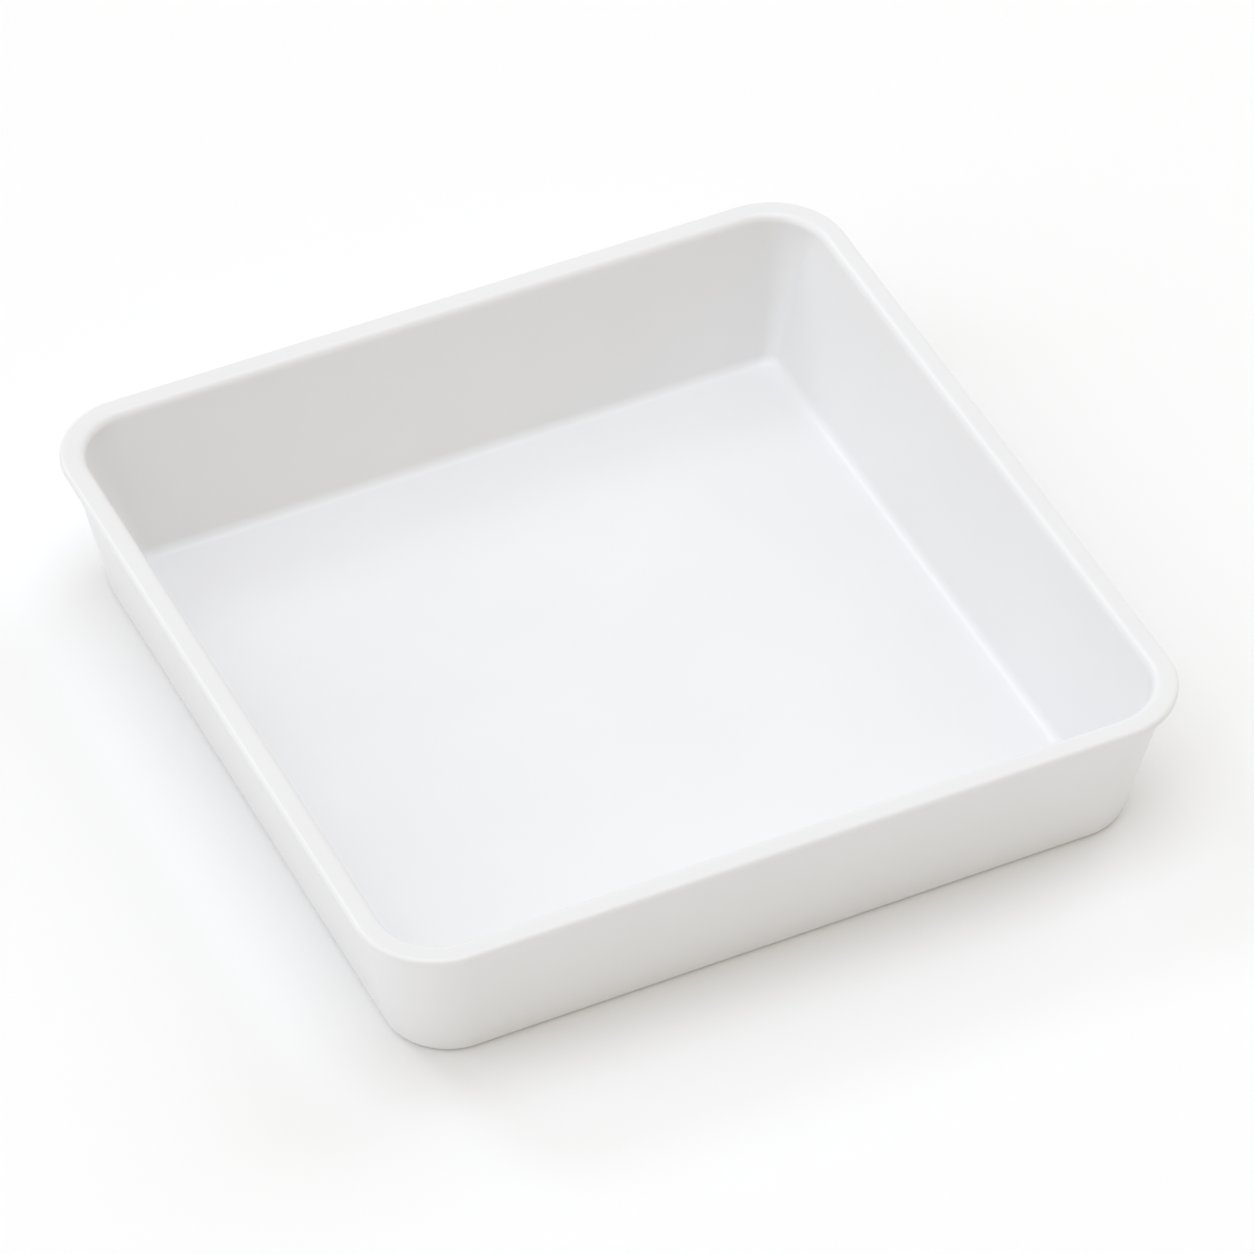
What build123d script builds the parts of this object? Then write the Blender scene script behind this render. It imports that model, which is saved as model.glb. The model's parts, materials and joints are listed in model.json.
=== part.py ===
from build123d import *
from math import radians, tan
import os

# Weighing boat: a shallow square tray for powders and liquids, moulded in one piece in white
# polystyrene. Its walls lean outwards from a flat floor to a flat-topped lip that runs round the
# mouth and stands proud of the outside. Origin: centre of the underside, +Z up, sides along X and Y.

# Driving dimensions, in millimetres and degrees
side = 140.0  # across the lip, along X and along Y
height = 27.0  # underside to the top of the lip
floor_thickness = 2.1
wall_thickness = 2.3  # just under the lip, measured level
outer_draft = 10.5  # lean of the outside of the walls from upright
inner_draft = 18.5  # lean of the inside; the wall thickens towards the floor

lip_height = 1.5
lip_overhang = 1.5  # how far the lip stands proud of the wall

lip_corner_radius = 13.5  # plan radius of the lip's outside
base_corner_radius = 10.5  # plan radius of the outside at the underside
floor_corner_radius = 4.0  # plan radius of the inside at the floor

lip_inner_round = 1.8  # mouth edge, over which powder is poured
lip_outer_round = 0.8  # top outer edge of the lip
lip_lower_round = 0.5  # lower outer edge of the lip
lip_root_round = 0.5  # hollow corner between the lip and the wall
floor_round = 2.2  # hollow corner between the floor and the walls
base_round = 1.2  # outer edge of the underside

# Sizes that follow from those above
lip_underside = height - lip_height
wall_side = side - 2 * lip_overhang  # outside of the wall just under the lip
wall_corner_radius = lip_corner_radius - lip_overhang
base_side = wall_side - 2 * lip_underside * tan(radians(outer_draft))

lip_width = lip_overhang + wall_thickness
mouth_side = side - 2 * lip_width
mouth_corner_radius = lip_corner_radius - lip_width
well_depth = height - floor_thickness
floor_side = mouth_side - 2 * well_depth * tan(radians(inner_draft))


with BuildPart() as weighing_boat:
    # Outside of the walls, from the underside up to the lip
    with BuildSketch(Plane.XY):
        RectangleRounded(base_side, base_side, base_corner_radius)
    with BuildSketch(Plane.XY.offset(lip_underside)):
        RectangleRounded(wall_side, wall_side, wall_corner_radius)
    loft(ruled=True)

    # Lip
    with BuildSketch(Plane.XY.offset(lip_underside)):
        RectangleRounded(side, side, lip_corner_radius)
    extrude(amount=lip_height)

    # Well, from the floor up to the mouth
    with BuildSketch(Plane.XY.offset(floor_thickness)):
        RectangleRounded(floor_side, floor_side, floor_corner_radius)
    with BuildSketch(Plane.XY.offset(height)):
        RectangleRounded(mouth_side, mouth_side, mouth_corner_radius)
    loft(ruled=True, mode=Mode.SUBTRACT)

    # Level faces from the lowest up: underside, floor, underside of the lip, top of the lip
    underside, floor, lip_lower, lip_top = weighing_boat.faces().filter_by(Axis.Z).sort_by(Axis.Z)
    floor_edges = floor.edges()
    base_edges = underside.edges()
    lip_root_edges = lip_lower.inner_wires()[0].edges()
    lip_lower_edges = lip_lower.outer_wire().edges()
    lip_outer_edges = lip_top.outer_wire().edges()
    mouth_edges = lip_top.inner_wires()[0].edges()

    fillet(floor_edges, floor_round)
    fillet(base_edges, base_round)
    fillet(lip_root_edges, lip_root_round)
    fillet(lip_lower_edges, lip_lower_round)
    fillet(lip_outer_edges, lip_outer_round)
    fillet(mouth_edges, lip_inner_round)

weighing_boat.part.label = "weighing_boat"

os.makedirs("parts", exist_ok=True)
export_step(weighing_boat.part, "parts/weighing_boat.step")
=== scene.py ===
"""Looks of the weighing boat: a moulded tray in satin white polystyrene on a plain white studio floor."""
import json
from math import cos, pi, radians, sin, tan

import bpy
from mathutils import Matrix, Vector


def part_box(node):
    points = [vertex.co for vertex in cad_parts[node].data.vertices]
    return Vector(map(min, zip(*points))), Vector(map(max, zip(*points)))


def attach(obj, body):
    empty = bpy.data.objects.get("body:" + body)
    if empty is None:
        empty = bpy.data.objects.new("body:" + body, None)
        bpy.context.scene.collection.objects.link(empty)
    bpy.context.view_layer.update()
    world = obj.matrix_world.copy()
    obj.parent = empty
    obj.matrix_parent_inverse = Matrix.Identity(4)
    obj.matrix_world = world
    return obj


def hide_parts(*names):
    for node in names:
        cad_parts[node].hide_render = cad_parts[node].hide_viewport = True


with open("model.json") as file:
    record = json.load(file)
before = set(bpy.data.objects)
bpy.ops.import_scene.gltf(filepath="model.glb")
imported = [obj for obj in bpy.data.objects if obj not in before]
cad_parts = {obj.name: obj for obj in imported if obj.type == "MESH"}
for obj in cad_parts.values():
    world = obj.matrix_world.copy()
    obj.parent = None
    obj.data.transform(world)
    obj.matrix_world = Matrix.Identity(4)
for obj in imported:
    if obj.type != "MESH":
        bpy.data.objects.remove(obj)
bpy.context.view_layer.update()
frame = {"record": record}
LOW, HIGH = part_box("weighing_boat")
MM = 0.001

# Sizes of the moulding that its box doesn't give, in metres and degrees
WALL_THICKNESS = 2.3 * MM  # just under the lip, measured level
OUTER_DRAFT = 10.5
INNER_DRAFT = 18.5
LIP_HEIGHT = 1.5 * MM
LIP_OVERHANG = 1.5 * MM
LIP_CORNER = 13.5 * MM  # plan radius of the lip's outside
BASE_CORNER = 10.5 * MM
FLOOR_CORNER = 2.6 * MM
LIP_INNER_ROUND = 1.8 * MM
LIP_OUTER_ROUND = 0.8 * MM
LIP_LOWER_ROUND = 0.5 * MM
LIP_ROOT_ROUND = 0.5 * MM
FLOOR_ROUND = 2.2 * MM
BASE_ROUND = 1.2 * MM
CORNER_EASE = 4  # how soon below the mouth the well's corners sharpen; 1 is evenly all the way

# Mesh density
ROUND_STEPS = 10  # faces across each rounded edge
WALL_STEPS = 12  # faces up each wall
CORNER_STEPS = 28  # faces round each corner, seen from above
SIDE_STEPS = 16  # faces along each straight side
CENTRE_SHARE = 0.02  # size of the innermost ring of each flat, as a share of the flat


def mount_height(name):
    """Height of one of the record's mounts."""
    mounts = {mount["name"]: mount for mount in frame["record"]["mounts"]}
    return mounts[name]["pos_m"][2]


# ---------------------------------------------------------------- section

def corner_points():
    """The section's sharp corners, from the underside round to the floor of the well.

    Each is (half width, height, plan radius of the ring's corners, radius of the rounding at that corner).
    """
    half = (HIGH.x - LOW.x) / 2
    floor = mount_height("well_floor")
    lip_under = HIGH.z - LIP_HEIGHT
    wall = half - LIP_OVERHANG
    base = wall - (lip_under - LOW.z) * tan(radians(OUTER_DRAFT))
    mouth = wall - WALL_THICKNESS
    well = mouth - (HIGH.z - floor) * tan(radians(INNER_DRAFT))
    lip_width = half - mouth
    return [
        (base, LOW.z, BASE_CORNER, BASE_ROUND),
        (wall, lip_under, LIP_CORNER - LIP_OVERHANG, LIP_ROOT_ROUND),
        (half, lip_under, LIP_CORNER, LIP_LOWER_ROUND),
        (half, HIGH.z, LIP_CORNER, LIP_OUTER_ROUND),
        (mouth, HIGH.z, LIP_CORNER - lip_width, LIP_INNER_ROUND),
        (well, floor, FLOOR_CORNER, FLOOR_ROUND),
    ]


def straight(start, end, ease=1):
    """Rings between two stops, closest together near both ends so that the flats shade flat."""
    rings = []
    for step in range(1, WALL_STEPS):
        share = (1 - cos(pi * step / WALL_STEPS)) / 2
        half, height, _ = Vector(start).lerp(Vector(end), share)
        plan = end[2] + (start[2] - end[2]) * (1 - share) ** ease
        rings.append((half, height, plan))
    return rings


def rounded(before, corner, after):
    """Rings (half width, height, plan radius) round one corner of the section."""
    here = Vector(corner[:2])
    towards_before = Vector(before[:2]) - here
    towards_after = Vector(after[:2]) - here
    radius = corner[3]
    half_angle = towards_before.angle(towards_after) / 2
    trim = radius / tan(half_angle)
    share_before = trim / towards_before.length
    share_after = trim / towards_after.length
    start = Vector(corner[:3]).lerp(Vector(before[:3]), share_before)
    end = Vector(corner[:3]).lerp(Vector(after[:3]), share_after)
    middle = (towards_before.normalized() + towards_after.normalized()).normalized()
    centre = here + middle * (radius / sin(half_angle))
    arm = Vector(start[:2]) - centre
    sweep = arm.angle_signed(Vector(end[:2]) - centre)
    rings = []
    for step in range(ROUND_STEPS + 1):
        share = step / ROUND_STEPS
        turned = arm.copy()
        turned.rotate(Matrix.Rotation(-sweep * share, 2))
        place = centre + turned
        plan = start.lerp(end, share).z
        rings.append((place.x, place.y, plan))
    return rings


def section():
    """Every ring of the moulding, from near the middle of the underside to near the middle of the floor."""
    corners = corner_points()
    first, last = corners[0], corners[-1]
    under = (first[0] * CENTRE_SHARE, first[1], first[2] * CENTRE_SHARE)
    inside = (last[0] * CENTRE_SHARE, last[1], last[2] * CENTRE_SHARE)
    stops = [under, *corners, inside]
    rings = [under]
    for before, corner, after in zip(stops, stops[1:], stops[2:]):
        arc = rounded(before, corner, after)
        rings += straight(rings[-1], arc[0], CORNER_EASE if corner == last else 1)
        rings += arc
    rings += straight(rings[-1], inside)
    rings.append(inside)
    return rings


# ---------------------------------------------------------------- mesh

def ring_points(half, height, plan):
    """Points of one level rounded square, anticlockwise from above."""
    points = []
    reach = half - plan
    for quarter in range(4):
        turn = Matrix.Rotation(quarter * pi / 2, 2)
        for step in range(SIDE_STEPS):
            along = -reach + 2 * reach * step / SIDE_STEPS
            points.append(turn @ Vector((half, along)))
        for step in range(CORNER_STEPS):
            angle = (pi / 2) * step / CORNER_STEPS
            points.append(turn @ Vector((reach + plan * cos(angle), reach + plan * sin(angle))))
    return [(point.x, point.y, height) for point in points]


def moulding():
    """The whole boat as one closed mesh of rings, with a fan of faces in the middle of both flats."""
    rings = section()
    count = 4 * (SIDE_STEPS + CORNER_STEPS)
    points = [point for ring in rings for point in ring_points(*ring)]
    last_ring = len(points) - count
    under, inside = len(points), len(points) + 1
    points += [(0, 0, rings[0][1]), (0, 0, rings[-1][1])]
    faces = []
    for step in range(count):
        after = (step + 1) % count
        faces.append((under, after, step))
        faces.append((inside, last_ring + step, last_ring + after))
        for level in range(len(rings) - 1):
            low, high = level * count, (level + 1) * count
            faces.append((low + step, low + after, high + after, high + step))
    mesh = bpy.data.meshes.new("boat_moulding")
    mesh.from_pydata(points, [], faces)
    mesh.validate()
    mesh.shade_smooth()
    piece = bpy.data.objects.new("boat_moulding", mesh)
    bpy.context.scene.collection.objects.link(piece)
    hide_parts("weighing_boat")
    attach(piece, "root")
    return piece


# ---------------------------------------------------------------- materials

# Lengths are in metres, and a noise's scale is in patches to the metre
REFRACTION = 1.55  # index of polystyrene
CLOUD_SCALE = 38.0
CLOUD_DETAIL = 3.0
CLOUD_RANGE = (0.3, 0.7)  # noise values at which the two tones are reached
DARK_TONE = (0.825, 0.828, 0.840)
LIGHT_TONE = (0.841, 0.845, 0.858)
LIP_PAINTED_SHADE = 0.97  # painted shade: the lip's flat top is made this share as bright as the rest
PAINTED_SHADE_DEPTH = 0.12 * MM  # how far below the top the painted shade fades out
GLOSS_SCALE = 120.0
GLOSS_DETAIL = 4.0
ROUGHNESS = (0.31, 0.42)
GRAIN_SCALE = 2600.0
GRAIN_DETAIL = 2.0
GRAIN_STRENGTH = 0.05
GRAIN_DEPTH = 0.02 * MM
FLOOR_WHITE = (0.930, 0.932, 0.938)


def new_material(name):
    material = bpy.data.materials.new(name)
    material.use_nodes = True
    return material, material.node_tree.nodes, material.node_tree.links


def noise(nodes, links, place, scale, detail):
    """A noise pattern fixed to the boat."""
    pattern = nodes.new("ShaderNodeTexNoise")
    pattern.inputs["Scale"].default_value = scale
    pattern.inputs["Detail"].default_value = detail
    links.new(place, pattern.inputs["Vector"])
    return pattern.outputs["Fac"]


def clouding(nodes, links, place):
    """The two tones of the plastic, in soft patches."""
    tint = nodes.new("ShaderNodeValToRGB")
    for stop, position, tone in zip(tint.color_ramp.elements, CLOUD_RANGE, (DARK_TONE, LIGHT_TONE)):
        stop.position = position
        stop.color = (*tone, 1)
    links.new(noise(nodes, links, place, CLOUD_SCALE, CLOUD_DETAIL), tint.inputs["Fac"])
    return tint.outputs["Color"]


def painted_shade_mask(nodes, links, place):
    """Where the painted shade goes: 1 on the flat top of the lip, 0 on everything below it."""
    axes = nodes.new("ShaderNodeSeparateXYZ")
    links.new(place, axes.inputs[0])
    height = nodes.new("ShaderNodeMapRange")
    height.inputs["From Min"].default_value = HIGH.z - PAINTED_SHADE_DEPTH
    height.inputs["From Max"].default_value = HIGH.z
    links.new(axes.outputs["Z"], height.inputs["Value"])
    return height.outputs["Result"]


def plastic_colour_and_painted_shade(nodes, links, place):
    """The clouded plastic, with painted shade that makes the flat top of the lip a little darker."""
    # Painted shade: the plastic's colour is multiplied darker on the lip's flat top
    lip = nodes.new("ShaderNodeMix")
    lip.data_type = "RGBA"
    lip.blend_type = "MULTIPLY"
    links.new(painted_shade_mask(nodes, links, place), lip.inputs["Factor"])
    links.new(clouding(nodes, links, place), lip.inputs["A"])
    lip.inputs["B"].default_value = (LIP_PAINTED_SHADE, LIP_PAINTED_SHADE, LIP_PAINTED_SHADE, 1)
    return lip.outputs["Result"]


def uneven_gloss(nodes, links, place):
    spread = nodes.new("ShaderNodeMapRange")
    spread.inputs["To Min"].default_value = ROUGHNESS[0]
    spread.inputs["To Max"].default_value = ROUGHNESS[1]
    links.new(noise(nodes, links, place, GLOSS_SCALE, GLOSS_DETAIL), spread.inputs["Value"])
    return spread.outputs["Result"]


def mould_grain(nodes, links, place):
    bump = nodes.new("ShaderNodeBump")
    bump.inputs["Strength"].default_value = GRAIN_STRENGTH
    bump.inputs["Distance"].default_value = GRAIN_DEPTH
    links.new(noise(nodes, links, place, GRAIN_SCALE, GRAIN_DETAIL), bump.inputs["Height"])
    return bump.outputs["Normal"]


def polystyrene():
    """Satin white polystyrene: faint clouding, uneven gloss, the fine grain of a blasted mould, and painted
    shade on the lip's flat top.
    """
    material, nodes, links = new_material("white_polystyrene")
    shader = nodes["Principled BSDF"]
    shader.inputs["IOR"].default_value = REFRACTION
    place = nodes.new("ShaderNodeTexCoord").outputs["Object"]
    links.new(plastic_colour_and_painted_shade(nodes, links, place), shader.inputs["Base Color"])
    links.new(uneven_gloss(nodes, links, place), shader.inputs["Roughness"])
    links.new(mould_grain(nodes, links, place), shader.inputs["Normal"])
    return material


def floor_paint():
    """Matt white paint with no gloss at all."""
    material, nodes, _ = new_material("studio_floor")
    shader = nodes["Principled BSDF"]
    shader.inputs["Base Color"].default_value = (*FLOOR_WHITE, 1)
    shader.inputs["Roughness"].default_value = 1.0
    shader.inputs["Specular IOR Level"].default_value = 0.0
    return material


# ---------------------------------------------------------------- studio

FLOOR_REACH = 12.0
FLOOR_GAP = 0.02 * MM  # between the floor and the underside, so that the two don't coincide
FILL_COLOUR = (0.587, 0.535, 0.454)  # warm light from all round
LAMP_COLOUR = (0.80, 0.88, 1.0)

# Name, degrees round from +X, degrees above the floor, degrees across, strength, whether gloss shows it
LAMPS = [
    ("overhead", 0, 90, 40, 0.83, True),
    ("key", 204, 42, 16, 0.33, True),
    ("near_side", 272, 37, 60, 0.75, True),
    ("left_side", 112, 40, 40, 0.58, False),
]


def studio_floor():
    r = FLOOR_REACH
    z = LOW.z - FLOOR_GAP
    mesh = bpy.data.meshes.new("studio_floor")
    mesh.from_pydata([(-r, -r, z), (r, -r, z), (r, r, z), (-r, r, z)], [], [(0, 1, 2, 3)])
    mesh.materials.append(floor_paint())
    floor = bpy.data.objects.new("studio_floor", mesh)
    bpy.context.scene.collection.objects.link(floor)


def world_light():
    """Even warm fill; what the camera and reflections see of the backdrop is plain white."""
    world = bpy.data.worlds.new("studio")
    bpy.context.scene.world = world
    world.use_nodes = True
    nodes, links = world.node_tree.nodes, world.node_tree.links
    nodes.clear()
    path = nodes.new("ShaderNodeLightPath")
    shown = path.outputs["Is Camera Ray"]
    for ray in ("Is Glossy Ray", "Is Transmission Ray"):
        either = nodes.new("ShaderNodeMath")
        either.operation = "MAXIMUM"
        links.new(shown, either.inputs[0])
        links.new(path.outputs[ray], either.inputs[1])
        shown = either.outputs[0]
    fill = nodes.new("ShaderNodeBackground")
    fill.inputs["Color"].default_value = (*FILL_COLOUR, 1)
    white = nodes.new("ShaderNodeBackground")
    white.inputs["Color"].default_value = (1, 1, 1, 1)
    mix = nodes.new("ShaderNodeMixShader")
    links.new(shown, mix.inputs["Fac"])
    links.new(fill.outputs[0], mix.inputs[1])
    links.new(white.outputs[0], mix.inputs[2])
    out = nodes.new("ShaderNodeOutputWorld")
    links.new(mix.outputs[0], out.inputs["Surface"])


def softbox(name, around, above, spread, strength, shines):
    """One soft lamp, far off in the given direction."""
    lamp = bpy.data.lights.new(name, "SUN")
    lamp.energy = strength
    lamp.color = LAMP_COLOUR
    lamp.angle = radians(spread)
    a, e = radians(around), radians(above)
    towards = Vector((cos(a) * cos(e), sin(a) * cos(e), sin(e)))
    light = bpy.data.objects.new(name, lamp)
    light.visible_glossy = shines
    light.rotation_mode = "QUATERNION"
    light.rotation_quaternion = towards.to_track_quat("Z", "Y")
    bpy.context.scene.collection.objects.link(light)


# ---------------------------------------------------------------- camera

AZIMUTH = 64.13  # round from straight in front of the -Y side, towards +X
ELEVATION = 43.28
ROLL = 0.33
DISTANCE = 1.3191  # from the middle of the boat
AIM_RIGHT = 2.6 * MM  # where the camera points, from the middle of the boat
AIM_UP = -0.4 * MM
LENS = 236.9  # focal length in millimetres, as is the sensor's width
SENSOR = 36.0
FARTHEST = 100.0  # what lies beyond this isn't drawn


def camera():
    a, e, roll = radians(AZIMUTH), radians(ELEVATION), radians(ROLL)
    back = Vector((sin(a) * cos(e), -cos(a) * cos(e), sin(e)))
    level = Vector((cos(a), sin(a), 0))
    upright = back.cross(level)
    right = level * cos(roll) + upright * sin(roll)
    up = back.cross(right)
    centre = (LOW + HIGH) / 2
    place = centre + back * DISTANCE + right * AIM_RIGHT + up * AIM_UP
    turn = Matrix((right, up, back)).transposed().to_4x4()
    data = bpy.data.cameras.new("camera")
    data.sensor_width = SENSOR
    data.lens = LENS
    data.clip_end = FARTHEST
    shooter = bpy.data.objects.new("camera", data)
    shooter.matrix_world = Matrix.Translation(place) @ turn
    bpy.context.scene.collection.objects.link(shooter)
    bpy.context.scene.camera = shooter


boat = moulding()
boat.data.materials.append(polystyrene())
studio_floor()
world_light()
for lamp in LAMPS:
    softbox(*lamp)
camera()
bpy.context.scene.view_settings.view_transform = "Standard"
